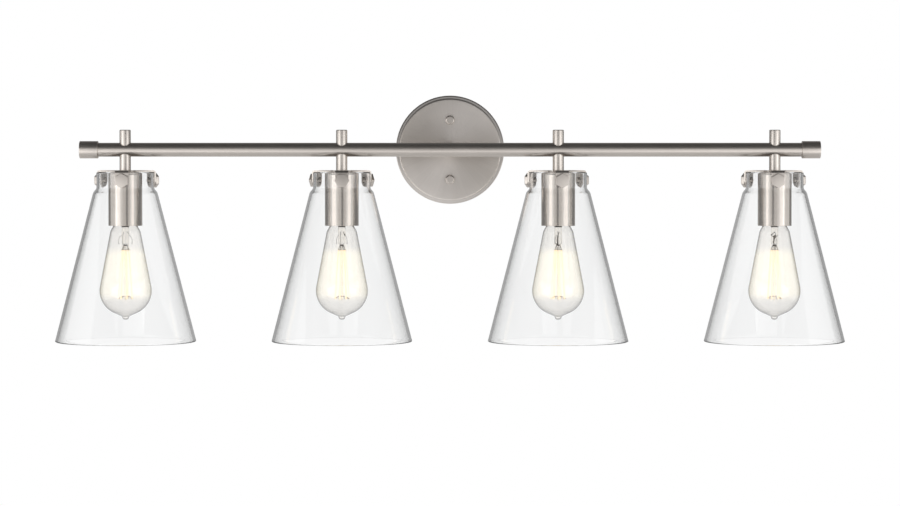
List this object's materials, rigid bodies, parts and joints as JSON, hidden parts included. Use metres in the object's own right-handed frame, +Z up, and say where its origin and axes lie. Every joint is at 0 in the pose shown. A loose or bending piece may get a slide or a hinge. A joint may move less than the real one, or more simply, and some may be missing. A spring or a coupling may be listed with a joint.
{
  "type": "vanity light bar",
  "caption": "Wall light bar: round canopy, horizontal tube with end caps, stems through the tube, clear conical glass shades on three-armed holders, teardrop bulbs.",
  "frame": {"origin": "on the wall plane, at the centre of the mounting strap", "axes": "+Z up, +X to the right along the bar, the front faces -Y, so +Y points into the wall"},
  "size_m": [0.9122, 0.1811, 0.2861],
  "materials": {
    "satin_nickel": "brushed satin nickel plate",
    "zinc_plate": "bright zinc plated steel",
    "green_zinc": "green dyed zinc",
    "socket_brass": "stamped brass",
    "socket_ceramic": "unglazed cream porcelain",
    "clear_glass": "blown clear glass",
    "bulb_glass": "thin clear bulb glass",
    "bulb_nickel": "rolled thread, bright",
    "filament_wire": "glowing filament on glass and nickel wire",
    "black_insulation": "satin wire insulation",
    "white_insulation": "satin wire insulation",
    "orange_plastic": "ribbed moulded plastic"
  },
  "bodies": {
    "root": {"mounting_strap": "zinc_plate", "canopy_studs": "zinc_plate", "ground_screw": "green_zinc", "canopy": "satin_nickel", "cap_nuts": "satin_nickel", "arm_tube": "satin_nickel", "bar_tube": "satin_nickel", "end_cap_left": "satin_nickel", "end_cap_right": "satin_nickel", "locknuts": "zinc_plate", "nipples": "zinc_plate", "black_leads": "black_insulation", "white_leads": "white_insulation", "wire_connectors": "orange_plastic", "screw_shells": "socket_brass", "centre_contacts": "socket_brass", "stem_1": "satin_nickel", "glass_holder_1": "satin_nickel", "socket_cup_1": "satin_nickel", "socket_body_1": "socket_ceramic", "shade_1": "clear_glass", "stem_2": "satin_nickel", "glass_holder_2": "satin_nickel", "socket_cup_2": "satin_nickel", "socket_body_2": "socket_ceramic", "shade_2": "clear_glass", "stem_3": "satin_nickel", "glass_holder_3": "satin_nickel", "socket_cup_3": "satin_nickel", "socket_body_3": "socket_ceramic", "shade_3": "clear_glass", "stem_4": "satin_nickel", "glass_holder_4": "satin_nickel", "socket_cup_4": "satin_nickel", "socket_body_4": "socket_ceramic", "shade_4": "clear_glass"},
    "bulb_1": {"bulb_glass_1": "bulb_glass", "bulb_base_1": "bulb_nickel", "bulb_filament_1": "filament_wire"},
    "thumb_screw_1_front": {"thumb_screw_1_front": "satin_nickel"},
    "thumb_screw_1_right": {"thumb_screw_1_right": "satin_nickel"},
    "thumb_screw_1_left": {"thumb_screw_1_left": "satin_nickel"},
    "bulb_2": {"bulb_glass_2": "bulb_glass", "bulb_base_2": "bulb_nickel", "bulb_filament_2": "filament_wire"},
    "thumb_screw_2_front": {"thumb_screw_2_front": "satin_nickel"},
    "thumb_screw_2_right": {"thumb_screw_2_right": "satin_nickel"},
    "thumb_screw_2_left": {"thumb_screw_2_left": "satin_nickel"},
    "bulb_3": {"bulb_glass_3": "bulb_glass", "bulb_base_3": "bulb_nickel", "bulb_filament_3": "filament_wire"},
    "thumb_screw_3_front": {"thumb_screw_3_front": "satin_nickel"},
    "thumb_screw_3_right": {"thumb_screw_3_right": "satin_nickel"},
    "thumb_screw_3_left": {"thumb_screw_3_left": "satin_nickel"},
    "bulb_4": {"bulb_glass_4": "bulb_glass", "bulb_base_4": "bulb_nickel", "bulb_filament_4": "filament_wire"},
    "thumb_screw_4_front": {"thumb_screw_4_front": "satin_nickel"},
    "thumb_screw_4_right": {"thumb_screw_4_right": "satin_nickel"},
    "thumb_screw_4_left": {"thumb_screw_4_left": "satin_nickel"}
  },
  "joints": [
    {"name": "bulb_1_withdraw", "type": "slide", "parent": "root", "child": "bulb_1", "axis": [0, 0, -1], "range_m": [0, 0.175]},
    {"name": "thumb_screw_1_front_travel", "type": "slide", "parent": "root", "child": "thumb_screw_1_front", "axis": [-0.0175, -0.9998, 0], "range_m": [0, 0.006]},
    {"name": "thumb_screw_1_right_travel", "type": "slide", "parent": "root", "child": "thumb_screw_1_right", "axis": [0.8746, 0.4848, 0], "range_m": [0, 0.006]},
    {"name": "thumb_screw_1_left_travel", "type": "slide", "parent": "root", "child": "thumb_screw_1_left", "axis": [-0.8572, 0.515, 0], "range_m": [0, 0.006]},
    {"name": "bulb_2_withdraw", "type": "slide", "parent": "root", "child": "bulb_2", "axis": [0, 0, -1], "range_m": [0, 0.175]},
    {"name": "thumb_screw_2_front_travel", "type": "slide", "parent": "root", "child": "thumb_screw_2_front", "axis": [0.0384, -0.9993, 0], "range_m": [0, 0.006]},
    {"name": "thumb_screw_2_right_travel", "type": "slide", "parent": "root", "child": "thumb_screw_2_right", "axis": [0.8462, 0.5329, 0], "range_m": [0, 0.006]},
    {"name": "thumb_screw_2_left_travel", "type": "slide", "parent": "root", "child": "thumb_screw_2_left", "axis": [-0.8846, 0.4664, 0], "range_m": [0, 0.006]},
    {"name": "bulb_3_withdraw", "type": "slide", "parent": "root", "child": "bulb_3", "axis": [0, 0, -1], "range_m": [0, 0.175]},
    {"name": "thumb_screw_3_front_travel", "type": "slide", "parent": "root", "child": "thumb_screw_3_front", "axis": [0.0976, -0.9952, 0], "range_m": [0, 0.006]},
    {"name": "thumb_screw_3_right_travel", "type": "slide", "parent": "root", "child": "thumb_screw_3_right", "axis": [0.8131, 0.5821, 0], "range_m": [0, 0.006]},
    {"name": "thumb_screw_3_left_travel", "type": "slide", "parent": "root", "child": "thumb_screw_3_left", "axis": [-0.9107, 0.4131, 0], "range_m": [0, 0.006]},
    {"name": "bulb_4_withdraw", "type": "slide", "parent": "root", "child": "bulb_4", "axis": [0, 0, -1], "range_m": [0, 0.175]},
    {"name": "thumb_screw_4_front_travel", "type": "slide", "parent": "root", "child": "thumb_screw_4_front", "axis": [0.0087, -1, 0], "range_m": [0, 0.006]},
    {"name": "thumb_screw_4_right_travel", "type": "slide", "parent": "root", "child": "thumb_screw_4_right", "axis": [0.8616, 0.5075, 0], "range_m": [0, 0.006]},
    {"name": "thumb_screw_4_left_travel", "type": "slide", "parent": "root", "child": "thumb_screw_4_left", "axis": [-0.8704, 0.4924, 0], "range_m": [0, 0.006]}
  ]
}
